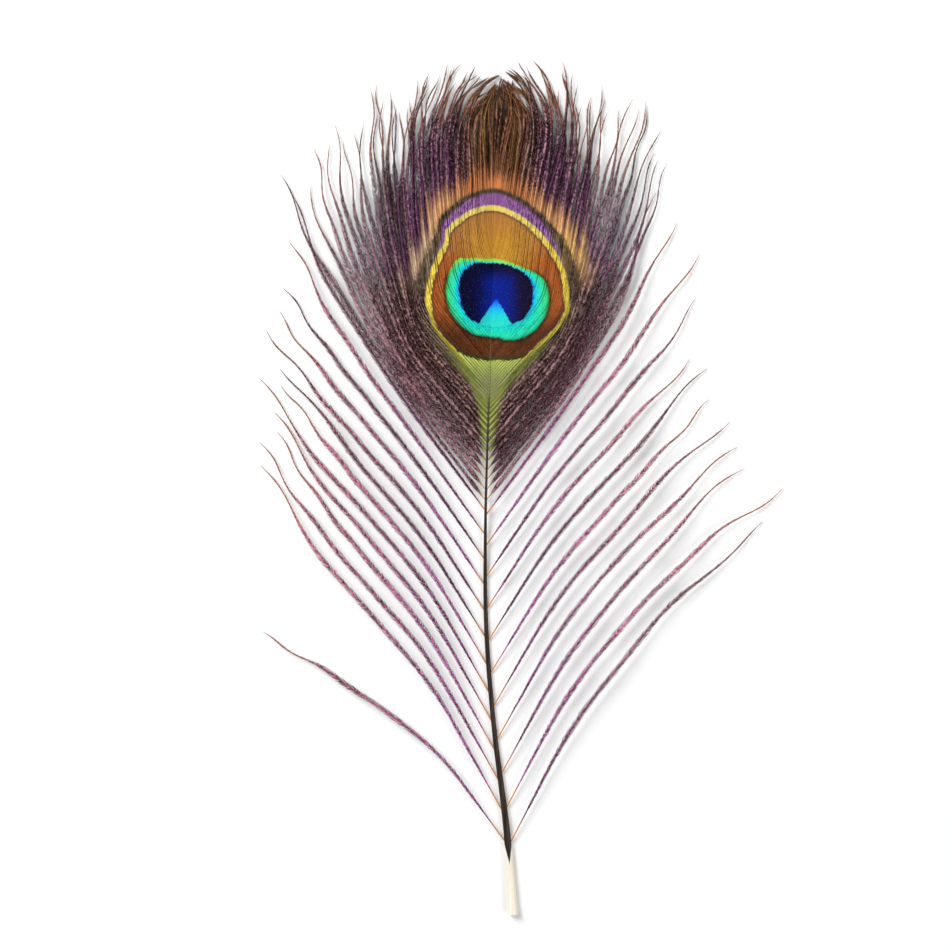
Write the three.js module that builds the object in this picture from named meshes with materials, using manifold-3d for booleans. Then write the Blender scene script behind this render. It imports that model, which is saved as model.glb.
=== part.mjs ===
// A peacock's eye feather, cut short and lying on its back on a table: a curved shaft, the loose barbs
// that grow from its lower half, and the dense barbs that hook together into the eye and end in a fringe.
// Millimetres, +Z up. The model is laid out from the cut end of the quill, and centred at the end.
import * as THREE from "three";
import { mergeVertices } from "three/addons/utils/BufferGeometryUtils.js";
import Module from "manifold-3d";

const wasm = await Module();
wasm.setup();

// Driving dimensions
const SHAFT_LENGTH = 238; // cut end of the quill to the shaft's hair-thin end inside the eye
const SHAFT_HEIGHT_RATIO = 0.92; // height over width
const SHAFT_SIDES = 8;
const SHAFT_STEPS = 26;
const SHAFT_LIFT = 3.8; // the eye's end of the shaft stands this far off the table
const LIFT_FROM = 95; // the shaft lies on the table up to here
const LIFT_TO = 180;
const BORE_WIDTH = 1.7; // the quill's hollow, open at the cut end
const BORE_DEPTH = 9;

const JOINT_GAP = 0.3; // between neighbouring solids
const LOOSE_BARB_ROOT_RADIUS = 0.7; // with its barbules
const LOOSE_BARB_TIP_RADIUS = 0.4;
const LOOSE_BARB_SIDES = 6;
const LOOSE_BARB_STEPS = 11;
const LOOSE_BARB_ARCH = 3.5; // how high a barb arches between its root and the table
const BARB_SUBSTEPS = 6; // a barb's run is worked out in this many strides for each of its points
const VANE_THICKNESS = 0.9;
const VANE_ARCH = 2.0;

// The shaft in plan: distance from the cut end, how far it swings to the side, and its width.
const SHAFT_RUN = [
  [0, 7.7, 3.3],
  [28, 5.6, 2.3],
  [62, 1.4, 1.7],
  [95, -1.2, 1.5],
  [130, -1.5, 1.0],
  [168, -0.5, 0.6],
  [205, 0.7, 0.4],
  [238, 1.3, 0.3],
];

// How a barb runs, by where it grows: its root's distance from the cut end; its angles off the shaft's way
// in degrees at the root, past the bend and at the tip; how far along it the bend starts and ends and the
// tip's own curl starts; and its length.
const EYE_RUNS = [
  [138, 37, 33, 21, 24, 62, 62, 125],
  [147, 39, 27, 14, 25, 58, 58, 126],
  [156, 40, 21, 9, 26, 54, 54, 124],
  [165, 41, 14, 6, 27, 49, 49, 118],
  [174, 42, 8, 3, 27, 43, 60, 110],
  [190, 38, 7, -10, 17, 30, 64, 97],
  [199, 34, 6, -43, 12, 24, 56, 88],
  [206, 31, 5, -54, 9, 20, 51, 78],
  [214, 27, 4, -46, 6, 16, 45, 64],
  [222, 21, 3, -33, 3, 12, 41, 54],
  [230, 15, 2, -18, 1, 10, 34, 45],
  [238, 8, 1, -4, 0, 8, 28, 37],
];
const BARB_RUNS = {
  right: [
    [24, 27, 41, 58, 20, 75, 75, 142],
    [60, 29, 42, 50, 20, 70, 70, 132],
    [79, 31, 43, 46, 20, 64, 64, 122],
    [105, 33, 43, 43, 20, 60, 60, 112],
    [122, 35, 39, 33, 22, 62, 62, 117],
    ...EYE_RUNS,
  ],
  left: [
    [24, 36, 56, 66, 18, 60, 60, 112],
    [34, 29, 43, 33, 25, 75, 75, 142],
    [44, 29, 42, 33, 24, 73, 73, 139],
    [60, 29, 42, 34, 22, 70, 70, 134],
    [79, 30, 42, 38, 20, 64, 64, 124],
    [105, 33, 42, 40, 20, 60, 60, 114],
    [122, 35, 38, 32, 22, 62, 62, 116],
    ...EYE_RUNS,
  ],
};
const SIDE_SIGN = { left: -1, right: 1 };
const FRINGE_LEAN = 4; // degrees to the right, which every barb's way takes on between these two places
const LEAN_FROM = 225;
const LEAN_TO = 245;

// The loose barbs' roots: the first one's place, the first gap, and how much each next gap shrinks.
const LOOSE_ROOTS = {
  left: { count: 13, first: 24.3, gap: 10.4, shrink: 0.21 },
  right: { count: 11, first: 24, gap: 11.6, shrink: 0.14 },
};

// The dense barbs, in two blocks a side: those beside the eye, and those that make the eye and its fringe.
const SIDE_BARBS = { from: 138.5, to: 173.5, across: 8, along: 14 };
const EYE_BARBS = { from: 174.7, to: 237.5, across: 14, along: 14 };

const COLOURS = { horn: 0x5a5048, mauve: 0x6a4358, eye: 0x1f7a72 };

const smoothstep = (from, to, value) => THREE.MathUtils.smoothstep(value, from, to);

// A row of the table at a given first value, with a smooth curve through the rows.
function rowAt(table, at) {
  const last = table.length - 2;
  let i = table.findIndex((row, n) => n === last || at < table[n + 1][0]);
  i = Math.max(0, Math.min(i, last));
  const slope = (n, column) => {
    const a = table[Math.max(n - 1, 0)];
    const b = table[Math.min(n + 1, table.length - 1)];
    return (b[column] - a[column]) / (b[0] - a[0]);
  };
  const step = table[i + 1][0] - table[i][0];
  const t = (at - table[i][0]) / step;
  return table[i].map(
    (value, column) =>
      value * (1 + 2 * t) * (1 - t) ** 2 +
      table[i + 1][column] * t * t * (3 - 2 * t) +
      slope(i, column) * step * t * (1 - t) ** 2 +
      slope(i + 1, column) * step * t * t * (t - 1),
  );
}

const shaftWidth = (y) => rowAt(SHAFT_RUN, y)[2];

const shaftHeight = (y) => SHAFT_HEIGHT_RATIO * shaftWidth(y);

const shaftLift = (y) => SHAFT_LIFT * smoothstep(LIFT_FROM, LIFT_TO, y);

// The middle of the shaft at a distance from the cut end. Its underside's flat lies at shaftLift.
function shaftMiddle(y) {
  const flatBelowMiddle = (shaftHeight(y) / 2) * Math.cos(Math.PI / SHAFT_SIDES);
  return new THREE.Vector3(rowAt(SHAFT_RUN, y)[1], y, shaftLift(y) + flatBelowMiddle);
}

// A closed round bar bent along points, with a flat side down. halfWidth and halfHeight are functions of
// the share of the way along it.
function bentBar(points, sides, halfWidth, halfHeight) {
  const steps = points.length - 1;
  const bar = new THREE.CylinderGeometry(1, 1, 1, sides, steps, false, Math.PI / sides);
  const up = new THREE.Vector3(0, 0, 1);
  const position = bar.getAttribute("position");
  const place = new THREE.Vector3();
  for (let i = 0; i < position.count; i++) {
    const share = position.getY(i) + 0.5;
    const n = Math.round(share * steps);
    const way = points[Math.min(n + 1, steps)].clone().sub(points[Math.max(n - 1, 0)]);
    const side = way.cross(up).normalize();
    place
      .copy(points[n])
      .addScaledVector(side, position.getX(i) * halfWidth(share))
      .addScaledVector(up, position.getZ(i) * halfHeight(share));
    position.setXYZ(i, place.x, place.y, place.z);
  }
  return bar;
}

// One barb's line from its root beside the shaft to its tip on the table, as evenly spaced points.
function barbLine(side, root, steps, standOff, tipHeight, arch) {
  const run = rowAt(BARB_RUNS[side], root);
  const [, start, middle, end, bendFrom, bendTo, curlFrom, length] = run;
  const foot = shaftMiddle(root);
  const place = foot.clone();
  place.x += SIDE_SIGN[side] * (shaftWidth(root) / 2 + standOff);
  const points = [];
  const strides = steps * BARB_SUBSTEPS;
  const stride = length / strides;
  for (let i = 0; i <= strides; i++) {
    if (i % BARB_SUBSTEPS === 0) {
      const share = i / strides;
      const z = THREE.MathUtils.lerp(foot.z, tipHeight, share) + arch * Math.sin(Math.PI * share);
      points.push(new THREE.Vector3(place.x, place.y, z));
    }
    const along = (i + 0.5) * stride;
    const offShaft =
      start +
      (middle - start) * smoothstep(bendFrom, bendTo, along) +
      (end - middle) * smoothstep(curlFrom, length, along);
    const lean = FRINGE_LEAN * smoothstep(LEAN_FROM, LEAN_TO, place.y);
    const heading = THREE.MathUtils.degToRad(SIDE_SIGN[side] * offShaft + lean);
    place.x += Math.sin(heading) * stride;
    place.y += Math.cos(heading) * stride;
  }
  return points;
}

function looseBarb(side, root) {
  const radius = (share) =>
    THREE.MathUtils.lerp(LOOSE_BARB_ROOT_RADIUS, LOOSE_BARB_TIP_RADIUS, share);
  const flat = Math.cos(Math.PI / LOOSE_BARB_SIDES);
  const line = barbLine(
    side,
    root,
    LOOSE_BARB_STEPS,
    JOINT_GAP + LOOSE_BARB_ROOT_RADIUS,
    LOOSE_BARB_TIP_RADIUS * flat,
    LOOSE_BARB_ARCH,
  );
  return bentBar(line, LOOSE_BARB_SIDES, radius, radius);
}

// A thin closed sheet over every barb whose root lies between from and to, out to the barbs' tips.
function vane(side, { from, to, across, along }) {
  const sheet = new THREE.BoxGeometry(1, 1, 1, across, along, 1);
  const lines = [];
  for (let i = 0; i <= across; i++) {
    const root = THREE.MathUtils.lerp(from, to, i / across);
    lines.push(barbLine(side, root, along, JOINT_GAP, VANE_THICKNESS / 2, VANE_ARCH));
  }
  const position = sheet.getAttribute("position");
  for (let i = 0; i < position.count; i++) {
    const turn = side === "right" ? -1 : 1; // keeps the faces pointing out on both sides
    const line = lines[Math.round((turn * position.getX(i) + 0.5) * across)];
    const point = line[Math.round((position.getY(i) + 0.5) * along)];
    position.setXYZ(i, point.x, point.y, point.z + position.getZ(i) * VANE_THICKNESS);
  }
  return sheet;
}

// A closed geometry as a solid, and a solid as a geometry.
function solidOf(geometry) {
  const bare = geometry.clone();
  bare.deleteAttribute("normal");
  bare.deleteAttribute("uv");
  const merged = mergeVertices(bare);
  return new wasm.Manifold(
    new wasm.Mesh({
      numProp: 3,
      vertProperties: merged.getAttribute("position").array,
      triVerts: new Uint32Array(merged.index.array),
    }),
  );
}

function geometryOf(solid) {
  const mesh = solid.getMesh();
  const geometry = new THREE.BufferGeometry();
  geometry.setAttribute("position", new THREE.BufferAttribute(mesh.vertProperties, 3));
  geometry.setIndex(new THREE.BufferAttribute(mesh.triVerts, 1));
  geometry.computeVertexNormals();
  return geometry;
}

function shaft() {
  const points = [];
  for (let i = 0; i <= SHAFT_STEPS; i++) {
    points.push(shaftMiddle((SHAFT_LENGTH * i) / SHAFT_STEPS));
  }
  const bar = bentBar(
    points,
    SHAFT_SIDES,
    (share) => shaftWidth(share * SHAFT_LENGTH) / 2,
    (share) => shaftHeight(share * SHAFT_LENGTH) / 2,
  );
  const mouth = shaftMiddle(0);
  const inner = shaftMiddle(BORE_DEPTH);
  const outer = mouth.clone().multiplyScalar(2).sub(inner);
  const boreRadius = () => BORE_WIDTH / 2;
  const bore = bentBar([outer, mouth, inner], SHAFT_SIDES, boreRadius, boreRadius);
  return geometryOf(solidOf(bar).subtract(solidOf(bore)));
}

const horn = new THREE.MeshStandardMaterial({ color: COLOURS.horn, roughness: 0.4, metalness: 0 });
const mauve = new THREE.MeshStandardMaterial({ color: COLOURS.mauve, roughness: 0.6, metalness: 0 });
const eye = new THREE.MeshStandardMaterial({ color: COLOURS.eye, roughness: 0.35, metalness: 0.2 });

const feather = new THREE.Group();

function addPiece(name, geometry, material) {
  const piece = new THREE.Mesh(geometry, material);
  piece.name = name;
  feather.add(piece);
}

addPiece("shaft", shaft(), horn);
for (const side of ["left", "right"]) {
  const { count, first, gap, shrink } = LOOSE_ROOTS[side];
  for (let n = 0; n < count; n++) {
    const root = first + n * gap - (shrink * n * (n - 1)) / 2;
    const number = String(n + 1).padStart(2, "0");
    addPiece(`loose_barb_${side}_${number}`, looseBarb(side, root), mauve);
  }
  addPiece(`side_barbs_${side}`, vane(side, SIDE_BARBS), mauve);
  addPiece(`eye_barbs_${side}`, vane(side, EYE_BARBS), eye);
}

// The frame's origin is the middle of the feather's box, on the table.
const box = new THREE.Box3().setFromObject(feather);
const middle = box.getCenter(new THREE.Vector3());
feather.position.set(-middle.x, -middle.y, -box.min.z);

export default feather;
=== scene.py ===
# A peacock's eye feather lying on its back on a pale table: the horn shaft, the loose barbs with their
# rows of barbules, and the dense barbs that hook together into the eye and end in a fringe.
# The feather is laid out in millimetres from the cut end of the quill, y along it and x to the right.
import math
from types import SimpleNamespace

import bpy
import numpy as np
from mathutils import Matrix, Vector


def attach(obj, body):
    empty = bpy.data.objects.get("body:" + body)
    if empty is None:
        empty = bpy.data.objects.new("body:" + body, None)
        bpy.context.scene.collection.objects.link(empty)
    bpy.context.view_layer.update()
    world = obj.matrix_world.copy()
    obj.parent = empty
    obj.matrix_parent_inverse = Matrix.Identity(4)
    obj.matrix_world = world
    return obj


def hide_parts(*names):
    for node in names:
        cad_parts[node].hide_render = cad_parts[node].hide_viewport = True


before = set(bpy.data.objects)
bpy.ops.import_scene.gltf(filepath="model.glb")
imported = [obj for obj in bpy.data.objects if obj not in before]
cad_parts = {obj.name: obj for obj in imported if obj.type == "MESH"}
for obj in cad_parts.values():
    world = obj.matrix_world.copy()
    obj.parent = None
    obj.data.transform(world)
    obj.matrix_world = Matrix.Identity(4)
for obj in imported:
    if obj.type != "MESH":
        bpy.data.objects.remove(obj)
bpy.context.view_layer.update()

MM = 0.001
LAYOUT_ZERO = np.array([-8.1116, -141.0892, 0.0])  # the layout's zero in the frame, mm

# ---------------------------------------------------------------- the feather's plan

SHAFT_LENGTH = 238.0
SHAFT_HEIGHT_RATIO = 0.92
SHAFT_SIDES = 8  # of the construction's bar, whose flat underside sets how high the shaft's middle is
SHAFT_LIFT = 3.8
LIFT_FROM = 95.0
LIFT_TO = 180.0

# The shaft in plan: distance from the cut end, how far it swings to the side, and its width.
SHAFT_RUN = [
    (0, 7.7, 3.3),
    (28, 5.6, 2.3),
    (62, 1.4, 1.7),
    (95, -1.2, 1.5),
    (130, -1.5, 1.0),
    (168, -0.5, 0.6),
    (205, 0.7, 0.4),
    (238, 1.3, 0.3),
]

# How a barb runs, by where it grows: its root's distance from the cut end; its angles off the shaft's way
# in degrees at the root, past the bend and at the tip; how far along it the bend starts and ends and the
# tip's own curl starts; and its length.
EYE_RUNS = [
    (138, 37, 33, 21, 24, 62, 62, 125),
    (147, 39, 27, 14, 25, 58, 58, 126),
    (156, 40, 21, 9, 26, 54, 54, 124),
    (165, 41, 14, 6, 27, 49, 49, 118),
    (174, 42, 8, 1, 27, 43, 60, 110),
    (190, 38, 7, -26, 17, 30, 66, 99),
    (199, 34, 6, -43, 12, 24, 56, 88),
    (206, 29, 5, -54, 9, 20, 51, 78),
    (214, 20, 5, -46, 6, 16, 45, 64),
    (222, 11, 5, -33, 3, 12, 41, 55),
    (230, 5, 4, -18, 1, 10, 34, 48),
    (238, 2, 2, -4, 0, 8, 28, 41),
]
BARB_RUNS = {
    "right": [
        (24, 27, 41, 58, 20, 75, 75, 142),
        (60, 29, 42, 50, 20, 70, 70, 132),
        (79, 31, 43, 46, 20, 64, 64, 122),
        (105, 33, 43, 43, 20, 60, 60, 112),
        (122, 35, 39, 33, 22, 62, 62, 117),
        *EYE_RUNS,
    ],
    "left": [
        (24, 36, 56, 66, 18, 60, 60, 112),
        (34, 29, 43, 33, 25, 75, 75, 142),
        (44, 29, 42, 33, 24, 73, 73, 139),
        (60, 29, 42, 34, 22, 70, 70, 134),
        (79, 30, 42, 38, 20, 64, 64, 124),
        (105, 33, 42, 40, 20, 60, 60, 114),
        (122, 35, 38, 32, 22, 62, 62, 116),
        *EYE_RUNS,
    ],
}
SIDE_SIGN = {"left": -1, "right": 1}
FRINGE_LEAN = 4.0  # degrees to the right, taken on between these two places
LEAN_FROM = 225.0
LEAN_TO = 245.0
ROOT_ASIDE = (0.4, 0.1)  # of the shaft's width, from its middle to a barb's root: below the eye, inside it
ASIDE_BETWEEN = (178.0, 192.0)

# How far barbs of a kind stray: the heights of their tips and their arch in mm, how far their way strays
# from their neighbours' and waves in degrees, their height in mm, and by what share lengths differ.
LOOSE_HABIT = {"tip_height": 0.4, "arch": 3.5, "sway": 3.2, "curl": 5.6, "spread": 0.8, "uneven": 0.05}
DENSE_HABIT = {"tip_height": 0.45, "arch": 2.0, "sway": 2.6, "curl": 6.0, "spread": 1.2, "uneven": 0.06}
WAYWARD_SHARE = 0.14  # of the barbs, which stray further than the others
WAYWARD_EXTRA = 1.6
WAVE_RUN = (3.0, 8.5)  # mm along a barb for each radian of its wave
TIP_CURL = 1.5  # how much more a barb waves at its tip
PARTING_FROM = 233.0  # the last barbs run straight up, so that the two sides meet
PARTING_PULL = 0.75

# The loose barbs' roots: how many, the first one's place, the first gap, and how much each next gap shrinks.
LOOSE_ROOTS = {"left": (13, 24.3, 10.4, 0.21), "right": (11, 24.0, 11.6, 0.14)}

# The dense barbs of a side: first and last root, and the gap between roots at each.
SIDE_ROOTS = (138.5, 173.5, 3.7, 1.1)
EYE_ROOTS = (174.7, 237.5, 1.12, 1.0)
EYE_FROM = 174.2  # parts the roots of the side barbs from those of the eye barbs
EYE_SPLIT = 206.0  # the eye barbs of a side are two pieces, parted at this root

BARB_STEPS = 120
SHARE = np.arange(BARB_STEPS + 1) / BARB_STEPS  # of the way from a barb's root to its tip
FLOOR_CLEARANCE = 0.03

# ---------------------------------------------------------------- the eye's plan, from its own centre

EYE_CENTRE = np.array([2.667, 207.667])

# Outlines as (degrees clockwise from straight up, millimetres from the eye's centre).
RING = [
    (-180, 33.6), (-175, 36.5), (-165, 30.4), (-150, 26.0), (-141, 24.7), (-123, 24.6), (-97, 24.2),
    (-76, 23.4), (-61, 23.6), (-48, 24.3), (-39, 27.0), (-30, 27.8), (-9, 29.0), (11, 27.2), (25, 25.4),
    (43, 23.8), (61, 23.3), (76, 23.4), (94, 23.7), (104, 24.6), (112, 24.0), (139, 22.8), (148, 23.2),
    (165, 26.6), (180, 33.6),
]
DISC = [
    (-180, 15.3), (-164, 15.6), (-148, 16.5), (-128, 16.8), (-110, 17.4), (-80, 17.6), (-65, 17.6),
    (-53, 17.4), (-41, 14.7), (-21, 11.9), (5, 10.7), (38, 11.0), (61, 13.7), (73, 15.7), (86, 16.8),
    (112, 17.6), (145, 17.6), (162, 17.0), (180, 15.3),
]
NAVY = [
    (-180, 12.0), (-148, 12.5), (-138, 13.0), (-117, 13.1), (-97, 12.9), (-72, 13.3), (-49, 12.8),
    (-15, 10.0), (25, 9.5), (50, 10.4), (71, 11.5), (93, 11.7), (116, 12.1), (137, 12.3), (156, 11.8),
    (180, 12.0),
]
OUTLINE_SCALE = 40.0  # mm for a curve's full height
RING_WIDTH_TOP = 1.8
RING_WIDTH_FOOT = 1.1
BRONZE_FOOT = 22.7
FOOT_SPREAD = 0.1  # how much the bronze reaches further down for each mm to the side
VIOLET_WIDTH = 4.2
VIOLET_ENDS = 67.0  # degrees from straight up
VIOLET_ENDS_LEFT = 56.0
VIOLET_TAPER = 0.6  # the power by which its width dwindles
LINE_WIDTH_TOP = 1.3
LINE_WIDTH_SIDE = 3.6
HALO_WIDTH = 5.0
HALO_STRAY = 7.0  # how much further it reaches on some barbs
NOTCH_APEX = (-0.5, -2.0)
NOTCH_SLOPE = 1.6
NOTCH_SKEW = 0.15  # how much steeper its right edge is
NOTCH_DEPTH = 10.0
UNEVEN_TINT = 0.3  # how far the markings are shifted from barb to barb, mm
UNEVEN_GRAIN = 0.45  # and from tuft to tuft
UNEVEN_MEAN = 0.38


def smoothstep(low, high, value):
    share = np.clip((value - low) / (high - low), 0.0, 1.0)
    return share * share * (3 - 2 * share)


def blend(start, end, share):
    return start + (end - start) * share


def row_at(table, at):
    """The table's rows at the given first values, on smooth curves through its rows."""
    rows = np.array(table, float)
    at = np.atleast_1d(np.asarray(at, float))
    after = np.minimum(np.arange(len(rows)) + 1, len(rows) - 1)
    before = np.maximum(np.arange(len(rows)) - 1, 0)
    slopes = (rows[after] - rows[before]) / (rows[after, :1] - rows[before, :1])
    i = np.clip(np.searchsorted(rows[:, 0], at, side="right") - 1, 0, len(rows) - 2)
    span = rows[i + 1, :1] - rows[i, :1]
    t = (at[:, None] - rows[i, :1]) / span
    return (
        rows[i] * (1 + 2 * t) * (1 - t) ** 2
        + rows[i + 1] * t * t * (3 - 2 * t)
        + slopes[i] * span * t * (1 - t) ** 2
        + slopes[i + 1] * span * t * t * (t - 1)
    )


def shaft_middle(y):
    """The middle of the shaft at distances from the cut end."""
    run = row_at(SHAFT_RUN, y)
    lift = SHAFT_LIFT * smoothstep(LIFT_FROM, LIFT_TO, run[:, 0])
    flat = SHAFT_HEIGHT_RATIO * run[:, 2] / 2 * math.cos(math.pi / SHAFT_SIDES)
    return np.stack([run[:, 1], run[:, 0], lift + flat], axis=1)


def shaft_width(y):
    return row_at(SHAFT_RUN, y)[:, 2]


def ring_gap(x, y):
    """How far places in plan lie outside the eye's yellow ring, and their turn from straight up."""
    dx = x - EYE_CENTRE[0]
    dy = y - EYE_CENTRE[1]
    turn = np.degrees(np.arctan2(dx, dy))
    angles, radii = np.array(RING, float).T
    return np.hypot(dx, dy) - np.interp(turn, angles, radii), turn


def roots_between(first, last, gap_first, gap_last):
    """Roots along the shaft whose gaps change evenly from the first one to the last."""
    count = 2 * (last - first) / (gap_first + gap_last)
    share = np.arange(round(count) + 1) / round(count)
    bend = (gap_first - gap_last) / (gap_first + gap_last)
    return first + (last - first) * (share + bend * share * (1 - share))


def ripple(rng, count, reach):
    """A row of random values in which neighbours within reach are alike."""
    lattice = rng.normal(size=int(count / reach) + 3)
    return np.interp(np.arange(count) / reach, np.arange(len(lattice)), lattice)


def stray_angles(rng, along, length, sway, curl):
    """How far barbs turn off their neighbours' way, in degrees, at places along them."""
    count = len(along)
    wayward = 1 + WAYWARD_EXTRA * (rng.uniform(0, 1, count) < WAYWARD_SHARE)
    stray = sway * wayward * (0.6 * ripple(rng, count, 4) + 0.6 * rng.normal(size=count))
    phase = rng.uniform(0, 2 * math.pi, count) + 1.2 * ripple(rng, count, 5)
    wave = np.sin(along / rng.uniform(*WAVE_RUN, (count, 1)) + phase[:, None])
    wave = curl * wave * (1 + TIP_CURL * smoothstep(0.75, 1.0, SHARE[1:]))
    return smoothstep(0.3, 1.0, along / length) * (stray[:, None] + wave)


def walk(side, start, off_shaft, stride):
    """Steps in plan along barbs from their roots: their places and headings at each step."""
    place = start.copy()
    places = np.empty((len(start), BARB_STEPS + 1, 2))
    ways = np.empty((len(start), BARB_STEPS + 1))
    for i in range(BARB_STEPS + 1):
        lean = FRINGE_LEAN * smoothstep(LEAN_FROM, LEAN_TO, place[:, 1])
        heading = np.radians(SIDE_SIGN[side] * off_shaft[:, min(i, BARB_STEPS - 1)] + lean)
        places[:, i] = place
        ways[:, i] = heading
        place[:, 0] += np.sin(heading) * stride
        place[:, 1] += np.cos(heading) * stride
    return places, ways


def barb_lines(side, roots, rng, tip_height, arch, sway, curl, spread, uneven):
    """Runs of barbs from their roots to their tips: points, ways in plan and lengths."""
    count = len(roots)
    run = row_at(BARB_RUNS[side], roots).T[..., None]
    _, start, middle, end, bend_from, bend_to, curl_from, length = run
    length = length * (1 + uneven * rng.uniform(-1.0, 0.8, (count, 1)))
    along = (SHARE[:-1] + 0.5 / BARB_STEPS) * length
    off_shaft = start + (middle - start) * smoothstep(bend_from, bend_to, along)
    off_shaft = off_shaft + (end - middle) * smoothstep(curl_from, length, along)
    off_shaft = off_shaft * (1 - PARTING_PULL * smoothstep(PARTING_FROM, SHAFT_LENGTH, roots))[:, None]
    off_shaft = off_shaft + stray_angles(rng, along, length, sway, curl)
    foot = shaft_middle(roots)
    place = foot[:, :2].copy()
    aside = blend(*ROOT_ASIDE, smoothstep(*ASIDE_BETWEEN, roots))
    place[:, 0] += SIDE_SIGN[side] * aside * shaft_width(roots)
    places, ways = walk(side, place, off_shaft, length[:, 0] / BARB_STEPS)
    lift = spread * (0.5 * ripple(rng, count, 3) + 0.7 * rng.normal(size=count))
    arc = np.sin(math.pi * SHARE)
    height = blend(foot[:, 2:], tip_height, SHARE) + arch * arc
    height = height + lift[:, None] * arc * smoothstep(0.3, 0.8, SHARE)
    height = np.maximum(height, tip_height)
    return np.concatenate([places, height[..., None]], axis=2), ways, length[:, 0]


def gap_to(line, other):
    """From each point of a barb, the distance in plan to another barb."""
    apart = line[:, None, :2] - other[None, :, :2]
    return np.sqrt((apart**2).sum(axis=2).min(axis=1))


# ---------------------------------------------------------------- fibres as one mesh


class Fibres:
    """The spines and barbules of one piece, gathered as arrays in millimetres. Each barb has folds rows
    of the bake map, its barbules above and below its spine."""

    NUMBERS = ("share", "fluff", "tint", "grain", "green", "bare", "rose")

    def __init__(self, barbs, folds):
        self.rows = barbs * folds
        self.folds = folds
        self.points = []
        self.faces = []
        self.places = []
        self.numbers = {name: [] for name in self.NUMBERS}
        self.count = 0

    def add(self, points, corners, places, **numbers):
        """Adds points, the four-sided faces between them, their map places, and a value a point for
        each of the piece's numbers."""
        self.faces.append(corners.reshape(-1, 4) + self.count)
        self.places.append(places.reshape(-1, 2))
        flat = points.reshape(-1, 3)
        self.points.append(flat)
        self.count += len(flat)
        for name in self.NUMBERS:
            value = np.broadcast_to(numbers[name], points.shape[:-1])
            self.numbers[name].append(value.reshape(-1))

    def cell(self, barb, share, height):
        """The map place of a share of the way along a barb, and a height within its row from 0 to 1."""
        turn = np.clip(share, 0, 1 - 1e-6) * self.folds
        row = barb * self.folds + np.floor(turn)
        return turn - np.floor(turn), (row + height) / self.rows

    def build(self, name, material):
        points = np.concatenate(self.points)
        points[:, 2] = np.maximum(points[:, 2], FLOOR_CLEARANCE)
        points = (points + LAYOUT_ZERO) * MM
        faces = np.concatenate(self.faces)
        mesh = bpy.data.meshes.new(name)
        mesh.vertices.add(len(points))
        mesh.vertices.foreach_set("co", points.reshape(-1).astype(np.float32))
        mesh.loops.add(faces.size)
        mesh.loops.foreach_set("vertex_index", faces.reshape(-1).astype(np.int32))
        mesh.polygons.add(len(faces))
        mesh.polygons.foreach_set("loop_start", (4 * np.arange(len(faces))).astype(np.int32))
        mesh.update(calc_edges=True)
        bake_map = mesh.uv_layers.new(name="OFBake")
        bake_map.data.foreach_set("uv", np.concatenate(self.places).reshape(-1).astype(np.float32))
        for title, values in self.numbers.items():
            layer = mesh.attributes.new(title, "FLOAT", "POINT")
            layer.data.foreach_set("value", np.concatenate(values).astype(np.float32))
        mesh.materials.append(material)
        piece = bpy.data.objects.new(name, mesh)
        bpy.context.collection.objects.link(piece)
        return piece


SPINE_BAND = (0.42, 0.58)  # the spine's part of a map row
SPINE_FILL = 0.9  # of its map cell that a spine's facet takes up


def add_spine(fibres, row, barb, sides, every):
    """A barb's spine: a thin tube that narrows almost to a point, with a ring of facets at every so many
    of its steps."""
    line = barb.line[::every]
    radii = barb.radii[::every]
    way = np.gradient(line, axis=0)
    way /= np.linalg.norm(way, axis=1, keepdims=True)
    across = np.cross(way, (0, 0, 1))
    across /= np.linalg.norm(across, axis=1, keepdims=True)
    up = np.cross(across, way)
    turn = (np.arange(sides) / sides * 2 * math.pi)[None, :, None]
    outwards = np.cos(turn) * across[:, None] + np.sin(turn) * up[:, None]
    rings = line[:, None] + radii[:, None, None] * outwards
    steps = len(line) - 1
    first = np.arange(steps)[:, None] * sides + np.arange(sides)
    second = np.arange(steps)[:, None] * sides + (np.arange(sides) + 1) % sides
    corners = np.stack([first, first + sides, second + sides, second], axis=-1)
    low = blend(*SPINE_BAND, np.arange(sides) / sides)
    high = blend(*SPINE_BAND, (np.arange(sides) + SPINE_FILL) / sides)
    middle = (np.arange(steps) + 0.5) / steps
    half = SPINE_FILL / 2 / steps * fibres.folds
    u, _ = fibres.cell(row, middle, 0.0)
    _, v_low = fibres.cell(row, middle[:, None], low)
    _, v_high = fibres.cell(row, middle[:, None], high)
    u = np.broadcast_to(u[:, None], v_low.shape)
    left = np.clip(u - half, 0, 1)
    right = np.clip(u + half, 0, 1)
    places = ((left, v_low), (right, v_low), (right, v_high), (left, v_high))
    fibres.add(
        rings,
        corners,
        np.stack([np.stack(place, -1) for place in places], axis=-2),
        share=SHARE[::every, None],
        fluff=0.0,
        tint=barb.tint,
        grain=0.5,
        green=barb.green[::every, None],
        bare=barb.bare[::every, None],
        rose=barb.rose,
    )


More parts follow.
